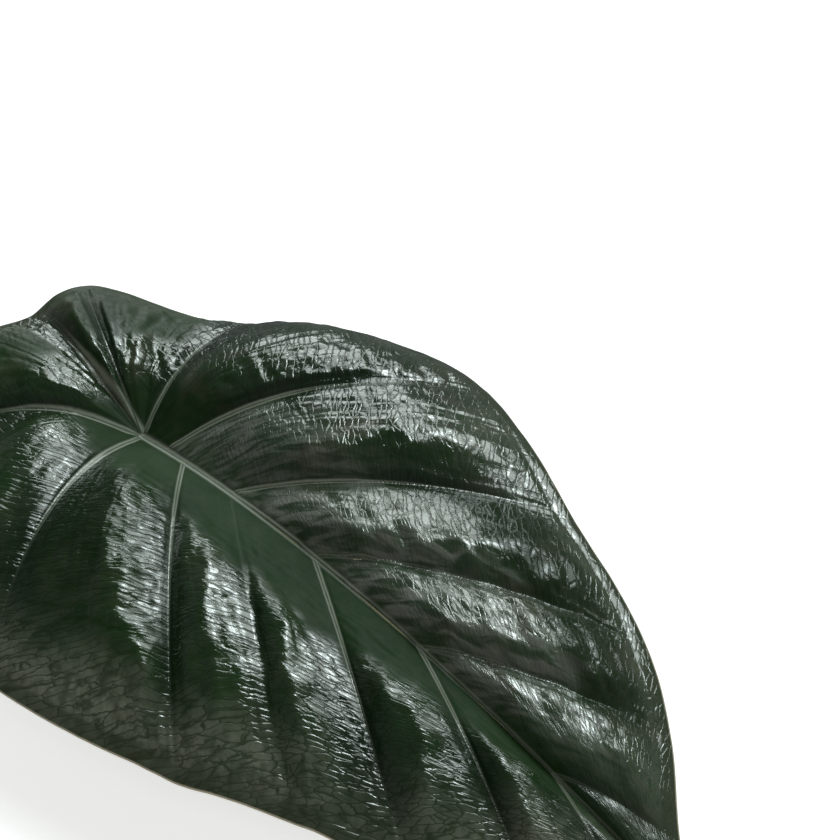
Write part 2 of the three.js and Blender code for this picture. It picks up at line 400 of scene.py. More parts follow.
class HalfBlade:
    """One half of the blade over one grid in plan, with rows along the edge and columns outward.

    Places are measured from the joint. t is the place of a row and a the place of a column.
    """

    t = ROW_AT[:, None]
    a = OUT_AT[None, :]

    def __init__(self, half):
        self.half = half
        self.side = half.side
        self.x, self.y, self.level, self.breadth = self.lay_out()
        self.swelling, self.quilt = self.fold()
        self.edge_gap = self.measure_edge()
        self.vein_gap, self.vein_mark, self.vein_force = self.measure_veins()
        self.midrib_mark = self.measure_midrib()
        self.outward, self.across = self.measure_lengths()
        self.fine_gap, self.fine_shown = self.place_fine_veins()
        self.wide_panel = zone(half.wide_panel)
        self.plain = zone(half.plain)
        self.combed = zone(half.combed)
        self.ladder = self.place_ladder()
        self.patchy = self.place_patches()
        self.calm = self.place_calm()
        self.painted_shade_patch = self.place_painted_shade_patches()
        top, low = self.raise_faces()
        self.top = np.dstack([self.x, self.y, top])
        self.low = np.dstack([self.x, self.y, low])
        self.values = self.finish_values()

    def lay_out(self):
        """The grid in plan, its level without folds, and how near each row is to full breadth."""
        a, side, stations = self.a, self.side, self.half.stations
        k = np.minimum(ROW_AT.astype(int), PANELS - 1)
        step = ROW_AT - k
        start = LEAVES_MIDRIB[k] + (LEAVES_MIDRIB[k + 1] - LEAVES_MIDRIB[k]) * step
        arch = stations[k, 3] + (stations[k + 1, 3] - stations[k, 3]) * step
        ends = np.column_stack([side * stations[:, 1], -stations[:, 0], stations[:, 2]])
        to = edge_points(ends, ROW_AT)
        come = np.column_stack([np.zeros_like(ROW_AT), -start, midrib_height(start)])
        breadth = np.minimum(1.0, np.linalg.norm(to - come, axis=1) / FULL_BREADTH)[:, None]
        turn = 0.5 * (come + to)
        turn[:, 1] -= np.where(start > 0, RIB_BOW * smooth((TIP_REACH - start) / BOW_FADE), 0.0)
        x = (1 - a) ** 2 * come[:, :1] + 2 * a * (1 - a) * turn[:, :1] + a**2 * to[:, :1]
        y = (1 - a) ** 2 * come[:, 1:2] + 2 * a * (1 - a) * turn[:, 1:2] + a**2 * to[:, 1:2]
        level = come[:, 2:] + (to[:, 2:] - come[:, 2:]) * a**2 + arch[:, None] * 4 * a * (1 - a)
        return x, y, level, breadth

    def fold(self):
        """How far the folds swell from the midrib to the edge, and their level with wandering crests."""
        folds = self.half.folds
        rise = smooth((self.a - along_edge(self.half.swell_from)) / 0.27)
        swelling = rise * (1 - 0.79 * smooth((self.a - 0.7) / 0.3))
        stray = 0.13 * sway(self.x / 6.0, self.y / 6.0, 91)
        quilt = np.empty(self.x.shape)
        for j in range(COLUMNS + 1):
            strayed = ROW_AT + stray[:, j] * fold_level(ROW_AT, OUT_AT[j], folds)
            quilt[:, j] = fold_level(np.clip(strayed, 0, PANELS), OUT_AT[j], folds)
        return swelling, quilt

    def measure_edge(self):
        """Distance from the edge."""
        gap = np.full(self.x.shape, FAR)
        ex, ey = self.x[:, -1:], self.y[:, -1:]
        for shift in range(-EDGE_SEARCH, EDGE_SEARCH):
            i = np.clip(np.arange(ROWS) + shift, 0, ROWS - 2)
            near = gap_to_line(self.x, self.y, ex[i], ey[i], ex[i + 1], ey[i + 1])
            gap = np.minimum(gap, near)
        return gap

    def measure_veins(self):
        """Distance from the nearest main vein, also in half widths of that vein, and its strength."""
        best_gap = np.full(self.x.shape, FAR)
        best_mark = np.full(self.x.shape, FAR)
        best_force = np.zeros(self.x.shape)
        for place, force, half_width, shown in self.half.veins:
            row = nearest_row(place)
            rows = slice(max(row - VEIN_SEARCH, 0), min(row + VEIN_SEARCH + 1, ROWS))
            x, y = self.x[rows], self.y[rows]
            vx, vy = self.x[row], self.y[row]
            gap = np.full(x.shape, FAR)
            at = np.zeros(x.shape)
            for j in range(COLUMNS):
                near = gap_to_line(x, y, vx[j], vy[j], vx[j + 1], vy[j + 1])
                at = np.where(near < gap, OUT_AT[j], at)
                gap = np.minimum(gap, near)
            mark = gap / (half_width * (0.35 + 0.65 * (1 - smooth(at / 0.85))))
            closer = mark < best_mark[rows]
            best_gap[rows] = np.where(closer, gap, best_gap[rows])
            best_force[rows] = np.where(closer, force * shown * (1 - 0.5 * at), best_force[rows])
            best_mark[rows] = np.where(closer, mark, best_mark[rows])
        return best_gap, best_mark, best_force

    def measure_midrib(self):
        """Distance from the midrib, in half widths of it; it narrows toward the tip."""
        along = np.clip(-self.y, 0.0, TIP_REACH)
        gap = np.hypot(self.x, np.maximum(self.y, 0.0))
        return gap / (MIDRIB_WIDTH * (1 - 0.8 * along / TIP_REACH))

    def measure_lengths(self):
        """Lengths on the grid: outward along the rows, and across them from the notch."""
        x, y = self.x, self.y
        steps = np.hypot(np.diff(x, axis=1, prepend=x[:, :1]), np.diff(y, axis=1, prepend=y[:, :1]))
        strides = np.hypot(np.diff(x, axis=0, prepend=x[:1]), np.diff(y, axis=0, prepend=y[:1]))
        return np.cumsum(steps, axis=1), np.cumsum(strides, axis=0)

    def place_fine_veins(self):
        """Distance from the finer veins that run beside the main ones, and how far they show."""
        x, y, a = self.x, self.y, self.a
        best_gap = np.full(x.shape, FAR)
        best_begin = np.zeros(x.shape)
        rng = np.random.default_rng(self.half.seed)
        for panel in range(PANELS - 1):
            first, last = FIRST_ROW[panel], FIRST_ROW[panel + 1]
            rows = slice(first, last + 1)
            share = ROW_AT[rows, None] - panel
            width = np.hypot(x[last] - x[first], y[last] - y[first])[None, :]
            count = max(1, int(round(width[0, -1] / SECONDARY_SPACING)))
            for n in range(count):
                end = (n + 0.5 + rng.uniform(-0.18, 0.18)) / count
                wobble = 0.012 * np.sin(a * rng.uniform(14, 22) + n)
                path = end * (0.3 + 0.7 * smooth((a - 0.04) / 0.72)) + wobble
                gap = np.abs(share - path) * width
                begin = rng.uniform(0.12, 0.34)
                closer = gap < best_gap[rows]
                best_gap[rows] = np.where(closer, gap, best_gap[rows])
                best_begin[rows] = np.where(closer, begin, best_begin[rows])
        return best_gap, smooth((a - best_begin) / 0.12)

    def place_ladder(self):
        """Count of the rungs between the fine veins, from the midrib outward; they wander."""
        rungs = self.outward / LADDER_SPACING
        rungs = rungs + 0.55 * sway(self.across / 9.0, self.outward / 26.0, 11 + self.side)
        return rungs + 0.22 * sway(self.across / 3.4, self.outward / 9.0, 21 + self.side)

    def place_patches(self):
        """How strongly the rungs swell; most on the wide panel, least where streaks take over."""
        patchy = 0.45 + 0.55 * smooth(0.5 + 0.9 * sway(self.x / 24.0, self.y / 24.0, 31))
        return (patchy + 1.5 * self.wide_panel) * (1 - 0.6 * self.combed)

    def place_calm(self):
        """0 by the midrib, on the veins and by the edge, where the skin is smooth; low on a plain panel."""
        calm = smooth((self.a - 0.10) / 0.14) * smooth((self.vein_gap - 0.6) / 2.6)
        return calm * smooth((self.edge_gap - 5.5) / 4.0) * (1 - 0.75 * self.plain)

    def place_painted_shade_patches(self):
        """Patches of the panels with painted shade on their colour and little polish."""
        start, rise, end, fall = self.half.shade_patch_reach
        drift = 0.05 * sway(self.x / 6.0, self.y / 6.0, 109)
        begun = smooth((self.a - start + drift) / rise)
        ended = smooth((self.a - end + self.half.shade_patch_end_drift * drift) / fall)
        return zone(self.half.shade_patch_rows) * begun * (1 - ended)

    def ladder_relief(self):
        """Low swellings between the rungs and the fine veins."""
        beat = np.abs(2 * (self.ladder - np.floor(self.ladder)) - 1)
        by_vein = bell(self.fine_gap / 1.6) * self.fine_shown * (1 - 0.75 * self.wide_panel)
        pillow = (1 - beat**2.4) * (1 - by_vein)
        return LADDER_HEIGHT * self.patchy * pillow * self.calm * self.breadth

    def dent_relief(self):
        """Dents of two sizes on the open panels."""
        half, x, y = self.half, self.x, self.y
        size = half.large_dents + zone(half.deep_dents)
        dents = size * np.abs(sway(x / 5.0, y / 5.0, 81))
        dents = dents + half.small_dents * np.abs(sway(x / 2.5, y / 2.5, 83))
        dents = dents * (1 - 0.6 * self.plain) * (1 - 0.5 * self.combed)
        dents = dents * between(self.a, 0.14, 0.16, 0.85, 0.12)
        return dents * smooth((self.vein_gap - 1.0) / 6.0) * self.breadth

    def streak_relief(self):
        """Streaks along the panels and a light crumple, uneven from place to place."""
        x, y = self.x, self.y
        streak = sway(15.0 * self.t, self.outward / 15.0, 51 + self.side)
        crumple = sway(x / 2.7, y / 2.7, 61)
        uneven = 0.25 + 0.75 * smooth(0.5 + 0.8 * sway(x / 19.0, y / 19.0, 71))
        height = (STREAK_HEIGHT + COMBED_HEIGHT * self.combed) * streak + CRUMPLE_HEIGHT * crumple
        return height * uneven * (1 - 0.6 * self.wide_panel) * self.calm * self.breadth

    def edge_relief(self):
        """Teeth just inside the collecting vein, that vein itself, and the rippled lip outside it."""
        x, y, gap = self.x, self.y, self.edge_gap
        along = self.across[:, -1:]
        tooth = np.sin(2 * math.pi * along / TEETH_SPACING + 1.3 * sway(x / 9.0, y / 9.0, 41))
        teeth = TEETH_HEIGHT * tooth * between(gap, 5.6, 2.4, 12.0, 9.0) * (0.6 + 0.4 * self.patchy)
        wander = COLLECTING_VEIN + 1.1 * sway(x / 13.0, y / 13.0, 43)
        groove = COLLECTING_DEPTH * bell((gap - wander) / 1.3)
        ripple = RIPPLE_HEIGHT * sway(along / 5.0, gap / 9.0, 45 + self.side)
        ripple = ripple * (1 - smooth((gap - 5.0) / 5.0))
        return (teeth - groove + ripple) * self.breadth - LIP_DROP * (1 - smooth(gap / 2.0))

    def vein_relief(self):
        """Sunken veins, the main ones and the midrib with a low cord in the middle."""
        inside = smooth((self.edge_gap - 1.5) / 3.0)
        sunken = 1 - smooth((self.vein_mark - 0.5) / 0.9)
        veins = VEIN_CORD * bell(self.vein_mark / 0.45) - VEIN_DEPTH * sunken * smooth(self.a / 0.06)
        fine = SECONDARY_DEPTH * (1 - 0.75 * self.wide_panel) * self.fine_shown * self.calm
        fine = fine * bell(self.fine_gap / 0.9)
        band = 1 - smooth((self.midrib_mark - 0.7) / 0.6)
        midrib = MIDRIB_CORD * bell(self.midrib_mark / 0.5) - MIDRIB_SINK * band
        return veins * self.vein_force * inside - fine + midrib * self.breadth

    def raise_faces(self):
        """Heights of the upper and the lower face."""
        base = self.level + QUILT_HEIGHT * self.breadth * self.swelling * self.quilt
        top = base + self.ladder_relief() + self.dent_relief() + self.streak_relief()
        top = top + self.edge_relief() + self.vein_relief()
        thick = EDGE_THICKNESS + (THICKNESS - EDGE_THICKNESS) * smooth(self.edge_gap / EDGE_TAPER)
        low = np.minimum(base, top + 0.3) - thick
        collar = 1 - smooth((np.hypot(self.x, self.y) - COLLAR_RADIUS) / COLLAR_FLARE)
        low = low + (JOINT_LEVEL - low) * collar
        low = np.where(self.edge_gap <= 1e-6, top - EDGE_THICKNESS, low)
        # Where the edge rests, it lies on the ground and not below it
        ground = -JOINT[2]
        return np.maximum(top, ground + thick), np.maximum(low, ground)

    def finish_values(self):
        """What the finishes read at each point of the blade."""
        half, x, y, a = self.half, self.x, self.y, self.a
        sheen = smooth((a - along_edge(half.gloss_from) + 0.05 * sway(x / 5.0, y / 5.0, 101)) / 0.12)
        lobe = smooth((a - 0.42 + 0.05 * sway(x / 5.0, y / 5.0, 103)) / 0.14)
        sheen = sheen * (1 - 0.8 * zone(half.back_lobe) * lobe)
        # Where the painted sheen fades out, away from the midrib
        painted_sheen_gone = smooth((a - along_edge(PAINTED_SHEEN_REACH) + 0.07 * sway(x / 7.0, y / 7.0, 107)) / 0.2)
        fine_vein = np.where(self.fine_shown > 0.05, self.fine_gap + 3.0 * (1 - self.fine_shown), 30.0)
        return {
            "rib": np.clip(self.vein_mark, 0.0, 6.0),
            "rib_force": self.vein_force,
            "midrib": np.clip(self.midrib_mark, 0.0, 6.0),
            "rim": np.clip(self.edge_gap, 0.0, 60.0),
            "fine_vein": fine_vein,
            "ladder": self.ladder,
            "outward": self.outward,
            "across": self.side * (self.across + 20.0),
            "reach": np.broadcast_to(a, x.shape),
            "row": np.broadcast_to(self.t, x.shape),
            "sheen": sheen,
            "polish": along_edge(half.polish) * (1 - 0.8 * self.painted_shade_patch),
            "painted_sheen": along_edge(half.painted_sheen) * (1 - painted_sheen_gone),
            # Painted shade: darker colour in the valleys of the folds and on the shaded patches
            "hollow": np.maximum(self.swelling * (1 - smooth(self.quilt / 0.9)), 0.8 * self.painted_shade_patch),
        }


class Shell:
    """Collects the points and faces of the closed blade; points that both halves share are met once."""

    def __init__(self, names):
        self.points = []
        self.faces = []
        self.kinds = []
        self.values = {name: [] for name in names}
        self.seen = {}

    def vertex(self, half, kind, i, j):
        if i == ROWS - 1:
            key = (kind, "tip")
        elif j == 0 and ROW_AT[i] <= LAST_AT_JOINT:
            key = (kind, "joint")
        elif j == 0:
            key = (kind, "midrib", i)
        elif i == 0:
            key = (kind, "notch", j)
        else:
            key = (kind, half.side, i, j)
        if key not in self.seen:
            grid = half.top if kind == UPPER else half.low
            self.seen[key] = len(self.points)
            self.points.append(grid[i, j])
            for name, kept in self.values.items():
                kept.append(half.values[name][i, j])
        return self.seen[key]

    def face(self, half, kind, corners):
        kept = list(dict.fromkeys(corners))
        if len(kept) < 3:
            return
        self.faces.append(kept if half.side > 0 else kept[::-1])
        self.kinds.append(kind)

    def add_upper_face(self, half):
        for i in range(ROWS - 1):
            for j in range(COLUMNS):
                quad = [(i, j), (i + 1, j), (i + 1, j + 1), (i, j + 1)]
                self.face(half, UPPER, [self.vertex(half, UPPER, *q) for q in quad])

    def add_lower_face(self, half):
        """The lower face at half the fineness, and the rim that joins it to the upper face."""
        for i in range(0, ROWS - 1, 2):
            for j in range(0, COLUMNS, 2):
                quad = [(i, j), (i, j + 2), (i + 2, j + 2), (i + 2, j)]
                self.face(half, UNDER, [self.vertex(half, UNDER, *q) for q in quad])
            top_0, top_1, top_2 = (self.vertex(half, UPPER, i + n, COLUMNS) for n in range(3))
            low_0, low_2 = (self.vertex(half, UNDER, i + n, COLUMNS) for n in (0, 2))
            self.face(half, UNDER, [top_0, top_1, low_0])
            self.face(half, UNDER, [top_1, low_2, low_0])
            self.face(half, UNDER, [top_1, top_2, low_2])


def blade_mesh(halves, upper_finish, under_finish):
    """The whole blade as one closed mesh: fine upper face, coarser lower face, thin rim."""
    shell = Shell(halves[0].values)
    for half in halves:
        shell.add_upper_face(half)
        shell.add_lower_face(half)
    mesh = bpy.data.meshes.new("leaf_blade_fine")
    mesh.from_pydata([tuple((p + JOINT) * MM) for p in shell.points], [], shell.faces)
    mesh.materials.append(upper_finish)
    mesh.materials.append(under_finish)
    mesh.polygons.foreach_set("material_index", shell.kinds)
    mesh.polygons.foreach_set("use_smooth", [True] * len(shell.faces))
    for name, kept in shell.values.items():
        layer = mesh.attributes.new(name, "FLOAT", "POINT")
        layer.data.foreach_set("value", np.array(kept, dtype=np.float32))
    mesh.update()
    mesh.validate()
    return mesh


class Wire:
    """A socket of a node tree; arithmetic on it adds Math nodes."""

    def __init__(self, bench, socket):
        self.bench = bench
        self.socket = socket

    def _math(self, operation, first, second=0.0):
        return self.bench.node("ShaderNodeMath", {"operation": operation}, {0: first, 1: second})

    def __add__(self, other):
        return self._math("ADD", self, other)

    def __radd__(self, other):
        return self._math("ADD", other, self)

    def __sub__(self, other):
        return self._math("SUBTRACT", self, other)

    def __rsub__(self, other):
        return self._math("SUBTRACT", other, self)

    def __mul__(self, other):
        return self._math("MULTIPLY", self, other)

    def __rmul__(self, other):
        return self._math("MULTIPLY", other, self)

    def __truediv__(self, other):
        return self._math("DIVIDE", self, other)

    def __rtruediv__(self, other):
        return self._math("DIVIDE", other, self)

    def cos(self):
        return self._math("COSINE", self)

    def fract(self):
        return self._math("FRACT", self)

    def abs(self):
        return self._math("ABSOLUTE", self)


class Bench:
    """Adds nodes to one tree."""

    def __init__(self, tree):
        self.tree = tree

    def node(self, kind, settings=None, inputs=None, output=0):
        """A node with its settings, then the values or links of its sockets; gives one of its outputs."""
        node = self.tree.nodes.new(kind)
        for key, value in (settings or {}).items():
            setattr(node, key, value)
        for key, value in (inputs or {}).items():
            socket = node.inputs[key]
            if isinstance(value, Wire):
                self.tree.links.new(value.socket, socket)
            elif socket.type == "RGBA" and len(value) == 3:
                socket.default_value = (*value, 1.0)
            else:
                socket.default_value = value
        return Wire(self, node.outputs[output]) if len(node.outputs) else node

    def value(self, name):
        return self.node("ShaderNodeAttribute", {"attribute_name": name}, output=2)

    def here(self):
        return self.node("ShaderNodeTexCoord", output=3)

    def step(self, value, low, high, start=0.0, end=1.0):
        """Soft step from one result to another while the value goes from low to high."""
        return self.node("ShaderNodeMapRange", {"interpolation_type": "SMOOTHSTEP"},
                         {0: value, 1: low, 2: high, 3: start, 4: end})

    def mix(self, factor, first, second):
        return self.node("ShaderNodeMix", {"data_type": "RGBA"}, {0: factor, 6: first, 7: second}, 2)

    def place(self, x, y, z=0.0):
        return self.node("ShaderNodeCombineXYZ", {}, {0: x, 1: y, 2: z})

    def noise(self, vector, scale, detail=2.0, roughness=0.5, distortion=0.0):
        return self.node("ShaderNodeTexNoise", {}, {
            "Vector": vector, "Scale": scale, "Detail": detail,
            "Roughness": roughness, "Distortion": distortion})

    def bump(self, height, strength, distance):
        return self.node("ShaderNodeBump", {}, {
            "Strength": strength, "Distance": distance, "Height": height})


def finish(name, build, **constants):
    """A material whose builder returns what varies; constants go on the shader's own sockets.

    A builder may also return how dull the surface is, as the share of a matte shader.
    """
    material = bpy.data.materials.new(name)
    material.use_nodes = True
    material.node_tree.nodes.clear()
    bench = Bench(material.node_tree)
    inputs = build(bench)
    dull = inputs.pop("dull", None)
    inputs.update(constants)
    shader = bench.node("ShaderNodeBsdfPrincipled", {}, inputs)
    if dull is not None:
        inputs.update({"Specular IOR Level": 0.06, "Coat Weight": 0.0})
        matte = bench.node("ShaderNodeBsdfPrincipled", {}, inputs)
        shader = bench.node("ShaderNodeMixShader", {}, {0: dull, 1: shader, 2: matte})
    bench.node("ShaderNodeOutputMaterial", {}, {"Surface": shader})
    return material


def upper_masks(b):
    """What the colour, the relief and the gloss of the upper face have in common."""
    names = ("rib", "rib_force", "midrib", "rim", "fine_vein", "ladder", "outward", "across",
             "reach", "row", "sheen", "polish", "painted_sheen", "hollow")
    m = SimpleNamespace(**{name: b.value(name) for name in names})
    m.here = b.here()
    m.broad = b.noise(m.here, 22.0, 3.0)
    m.small = b.noise(m.here, 140.0, 3.0, 0.6)
    m.on_right = b.step(m.across, -5.0, 5.0)
    m.lengthwise = b.noise(b.place(m.outward * 0.06, m.row * 9.0), 1.0, 2.0, 0.55, 0.7)
    bent_outward = m.outward * 0.13 + m.small * 0.9 + m.broad * 1.5
    bent_across = m.across * 0.17 + m.small * 0.8
    m.cells = b.node("ShaderNodeTexVoronoi", {"feature": "DISTANCE_TO_EDGE"}, {
        "Vector": b.place(bent_outward, bent_across), "Scale": 1.0, "Randomness": 0.9})
    m.areole = b.step(m.cells, 0.0, 0.15)
    # Paler band with its net by the edge, mostly on the left: the net is real, the paleness is painted
    # sheen
    m.worn = b.step(m.rim, 9.0, 36.0, 0.75, 0.0) * b.step(m.broad, 0.25, 0.6, 0.35, 1.0)
    m.worn = m.worn * b.step(m.across, -30.0, -10.0, 1.0, 0.25)
    m.on_rib = b.step(m.rib, 0.70, 1.10, 1.0, 0.0) * b.step(m.rib_force, 0.15, 0.75)
    m.on_rib = m.on_rib * b.step(m.reach, 0.3, 0.75, 1.0, 0.12) * b.step(m.broad, 0.3, 0.6, 0.65, 1.0)
    m.on_midrib = b.step(m.midrib, 0.75, 1.10, 1.0, 0.0)
    m.stripes = (m.rib * 6.0 + m.small * 1.6).cos() * 0.5 + 0.5
    m.lines = (m.midrib * 6.4 + m.small * 1.6).cos() * 0.5 + 0.5
    m.textured = m.sheen * 0.94 + 0.06
    return m


def upper_colour(b, m):
    """Mottled greens, then the net near the edge on painted sheen, the painted sheen film, the painted
    shade of the hollows, the lip and the veins.
    """
    field = b.mix(b.step(m.broad, 0.35, 0.68), DEEP_GREEN, FRESH_GREEN)
    field = b.mix(b.step(m.small, 0.42, 0.72, 0.0, 0.55), field, MOTTLE_GREEN)
    streaked = b.step(m.lengthwise, 0.50, 0.68) * (0.2 + 0.3 * m.on_right)
    field = b.mix(streaked, field, STREAK_GREEN)
    on_fine_vein = b.step(m.fine_vein, 0.25, 1.1, 0.22, 0.0) * b.step(m.small, 0.35, 0.6)
    field = b.mix(on_fine_vein, field, FINE_VEIN_GREEN)
    off_midrib = b.step(m.reach, 0.05, 0.25) * m.on_right
    off_midrib = off_midrib + b.step(m.reach, 0.25, 0.45) * (1.0 - m.on_right)
    tanned = b.step(b.noise(m.here, 45.0, 2.0), 0.50, 0.68) * (0.2 + 0.25 * m.on_right)
    field = b.mix(tanned * off_midrib, field, TAN)
    cell = b.step(m.cells, 0.0, 0.09) * b.step(m.small, 0.32, 0.62, 0.2, 1.0)
    # The net by the edge on a pale olive that is painted sheen
    field = b.mix(m.worn, field, b.mix(cell, SHEEN_NET_LINE, SHEEN_NET_CELL))
    net = (1.0 - m.areole) * m.on_right * b.step(m.reach, 0.62, 0.80, 0.0, 0.55)
    field = b.mix(net, field, NET_GREY)
    # Painted sheen: pale grey streaks along the inner right panels, standing in for a reflection
    field = b.mix(m.painted_sheen * b.step(m.lengthwise, 0.36, 0.64, 0.15, 1.0), field, PAINTED_SHEEN_GREY)
    # Painted shade in the fold valleys and on the shaded patches, none under the painted sheen
    field = b.mix(m.hollow * (1.0 - m.painted_sheen) * 0.75, field, PAINTED_SHADE_GREEN)
    field = b.mix(b.step(m.rim, 4.6, 6.6, 1.0, 0.0) * 0.65, field, LIP_GREEN)
    field = b.mix(m.on_rib * 0.9, field, b.mix(m.stripes, VEIN_PALE, VEIN_DARK))
    forward = b.node("ShaderNodeSeparateXYZ", {}, {0: m.here}, 1)
    pale_midrib = m.on_midrib * b.step(forward, -0.10, 0.04, 0.4, 0.95)
    field = b.mix(pale_midrib, field, b.mix(m.lines, MIDRIB_PALE, MIDRIB_DARK))
    return b.mix(b.step(m.rim, 0.2, 0.6, 1.0, 0.0), field, EDGE_LINE)


def upper_face(b):
    """Glossy on the panels; dull by the midrib, on the back lobes, on the rungs and along the net."""
    m = upper_masks(b)
    wrinkle = b.noise(b.place(m.outward * 0.16, m.across * 0.10), 1.0, 2.0, 0.5, 1.5)
    wrinkle = wrinkle * (1.0 - 0.7 * m.on_right) + m.lengthwise * 0.7 * m.on_right
    grain = b.noise(m.here, 520.0, 2.0)
    relief = (wrinkle + m.areole * 0.60) * m.textured + m.areole * m.worn * 0.6 + grain * 0.05
    calm = (1.0 - 0.7 * m.on_rib) * (1.0 - 0.7 * m.on_midrib) * b.step(m.rim, 3.0, 8.0, 0.5, 1.0)
    relief = relief * calm + (m.stripes * m.on_rib + m.lines * m.on_midrib) * 0.25
    rough = 0.62 - 0.43 * m.textured + 0.10 * (wrinkle - 0.5)
    rough = rough + 0.12 * m.on_midrib + 0.08 * m.on_rib
    rungs = b.step((2.0 * m.ladder.fract() - 1.0).abs(), 0.66, 0.92)
    wide_panel = b.step(m.row, 3.9, 4.3) * b.step(m.row, 5.8, 6.0, 1.0, 0.0) * (1.0 - m.on_right)
    gloss = m.textured * m.polish * (1.0 - rungs * (0.15 + 0.6 * wide_panel))
    gloss = gloss * b.step(m.cells, 0.0, 0.09, 0.4, 1.0)
    return {
        "Base Color": upper_colour(b, m),
        "Roughness": rough,
        "Coat Weight": m.textured * 0.25,
        "Normal": b.bump(relief, 0.34, 0.0011),
        "dull": (1.0 - gloss) * (1.0 - m.on_midrib),
    }


def lower_face(b):
    """Paler green below, with a net of small veins between the fine ones."""
    here = b.here()
    rib, rim = b.value("rib"), b.value("rim")
    fine_vein, ladder = b.value("fine_vein"), b.value("ladder")
    broad = b.noise(here, 26.0, 3.0)
    small = b.noise(here, 260.0, 3.0, 0.6)
    field = b.mix(b.step(broad, 0.32, 0.7), UNDER_GREEN, UNDER_PALE)
    field = b.mix(b.step(small, 0.4, 0.8, 0.0, 0.35), field, UNDER_SPOT)
    net = b.step((2.0 * ladder.fract() - 1.0).abs(), 0.74, 0.98)
    field = b.mix(net * 0.35, field, UNDER_NET)
    field = b.mix(b.step(fine_vein, 0.3, 1.3, 0.65, 0.0), field, UNDER_FINE_VEIN)
    field = b.mix(b.step(rib, 0.8, 1.5, 0.8, 0.0), field, UNDER_VEIN)
    field = b.mix(b.step(rim, 0.3, 1.0, 1.0, 0.0), field, UNDER_EDGE)
    relief = small * 0.6 + net * 0.5 + b.step(fine_vein, 0.2, 1.3, 0.8, 0.0)
    return {"Base Color": field, "Roughness": 0.46 + 0.14 * broad, "Normal": b.bump(relief, 0.5, 0.0006)}


def rib_skin(b):
    here = b.here()
    spots = b.noise(here, 330.0, 3.0, 0.6)
    broad = b.noise(here, 30.0, 2.0)
    field = b.mix(b.step(broad, 0.3, 0.7), RIB_GREEN, RIB_PALE)
    field = b.mix(b.step(spots, 0.52, 0.75, 0.0, 0.5), field, RIB_SPOT)
    return {"Base Color": field, "Roughness": 0.42 + 0.2 * spots, "Normal": b.bump(spots, 0.35, 0.0005)}


def stalk_skin(b):
    """Streaked green, paler at the neck, dried brown just before the pale cut end."""
    along, around = b.value("along"), b.value("around")
    streak = b.noise(b.place(around * 26.0, along * 3.0), 1.0, 3.0, 0.6)
    spots = b.noise(b.here(), 420.0, 3.0, 0.65)
    field = b.mix(b.step(streak, 0.35, 0.7), STALK_GREEN, STALK_PALE)
    field = b.mix(b.step(spots, 0.55, 0.72, 0.0, 0.45), field, STALK_SPOT)
    field = b.mix(b.step(along, 0.0, 0.25, 0.35, 0.0), field, STALK_NECK)
    field = b.mix(b.step(along, 0.955, 0.99, 0.0, 0.7), field, STALK_DRIED)
    field = b.mix(b.step(along, 0.990, 0.999), field, STALK_PITH)
    relief = streak * 0.7 + spots * 0.3
    return {"Base Color": field, "Roughness": 0.36 + 0.2 * spots, "Normal": b.bump(relief, 0.45, 0.0006)}


def pale_floor(b):
    return {"Base Color": b.mix(b.noise(b.here(), 6.0, 2.0), FLOOR_GREY, FLOOR_PALE)}


def sweep_tree(name, scallops):
    """Geometry Nodes: a round section carried along each line, its size taken from the line's points."""
    tree = bpy.data.node_groups.new(name, "GeometryNodeTree")
    tree.interface.new_socket("Geometry", in_out="INPUT", socket_type="NodeSocketGeometry")
    tree.interface.new_socket("Sides", in_out="INPUT", socket_type="NodeSocketInt")
    tree.interface.new_socket("Flute", in_out="INPUT", socket_type="NodeSocketFloat")
    tree.interface.new_socket("Finish", in_out="INPUT", socket_type="NodeSocketMaterial")
    tree.interface.new_socket("Geometry", in_out="OUTPUT", socket_type="NodeSocketGeometry")
    b = Bench(tree)
    given = tree.nodes.new("NodeGroupInput")
    lines, sides, flute, skin = (Wire(b, given.outputs[n]) for n in range(4))
    path = b.node("GeometryNodeMeshToCurve", {}, {"Mesh": lines})
    share = b.node("GeometryNodeSplineParameter")
    path = b.node("GeometryNodeStoreNamedAttribute", {"data_type": "FLOAT", "domain": "POINT"},
                  {"Geometry": path, "Name": "along", "Value": share})
    ring = b.node("GeometryNodeCurvePrimitiveCircle", {"mode": "RADIUS"},
                  {"Resolution": sides, "Radius": 1.0})
    part = b.node("GeometryNodeInputIndex") / sides
    swell = 1.0 + flute * (part * (2.0 * math.pi * scallops)).cos()
    place = b.node("GeometryNodeInputPosition")
    place = b.node("ShaderNodeVectorMath", {"operation": "SCALE"}, {0: place, "Scale": swell})
    ring = b.node("GeometryNodeSetPosition", {}, {"Geometry": ring, "Position": place})
    ring = b.node("GeometryNodeStoreNamedAttribute", {"data_type": "FLOAT", "domain": "POINT"},
                  {"Geometry": ring, "Name": "around", "Value": (part * 2.0 - 1.0).abs()})
    size = b.node("GeometryNodeInputNamedAttribute", {"data_type": "FLOAT"}, {"Name": "size"})
    skin_mesh = b.node("GeometryNodeCurveToMesh", {}, {
        "Curve": path, "Profile Curve": ring, "Scale": size, "Fill Caps": True})
    skin_mesh = b.node("GeometryNodeSetShadeSmooth", {}, {"Geometry": skin_mesh})
    skin_mesh = b.node("GeometryNodeRealizeInstances", {}, {"Geometry": skin_mesh})
    skin_mesh = b.node("GeometryNodeSetMaterial", {}, {"Geometry": skin_mesh, "Material": skin})
    b.node("NodeGroupOutput", {}, {0: skin_mesh})
    return tree


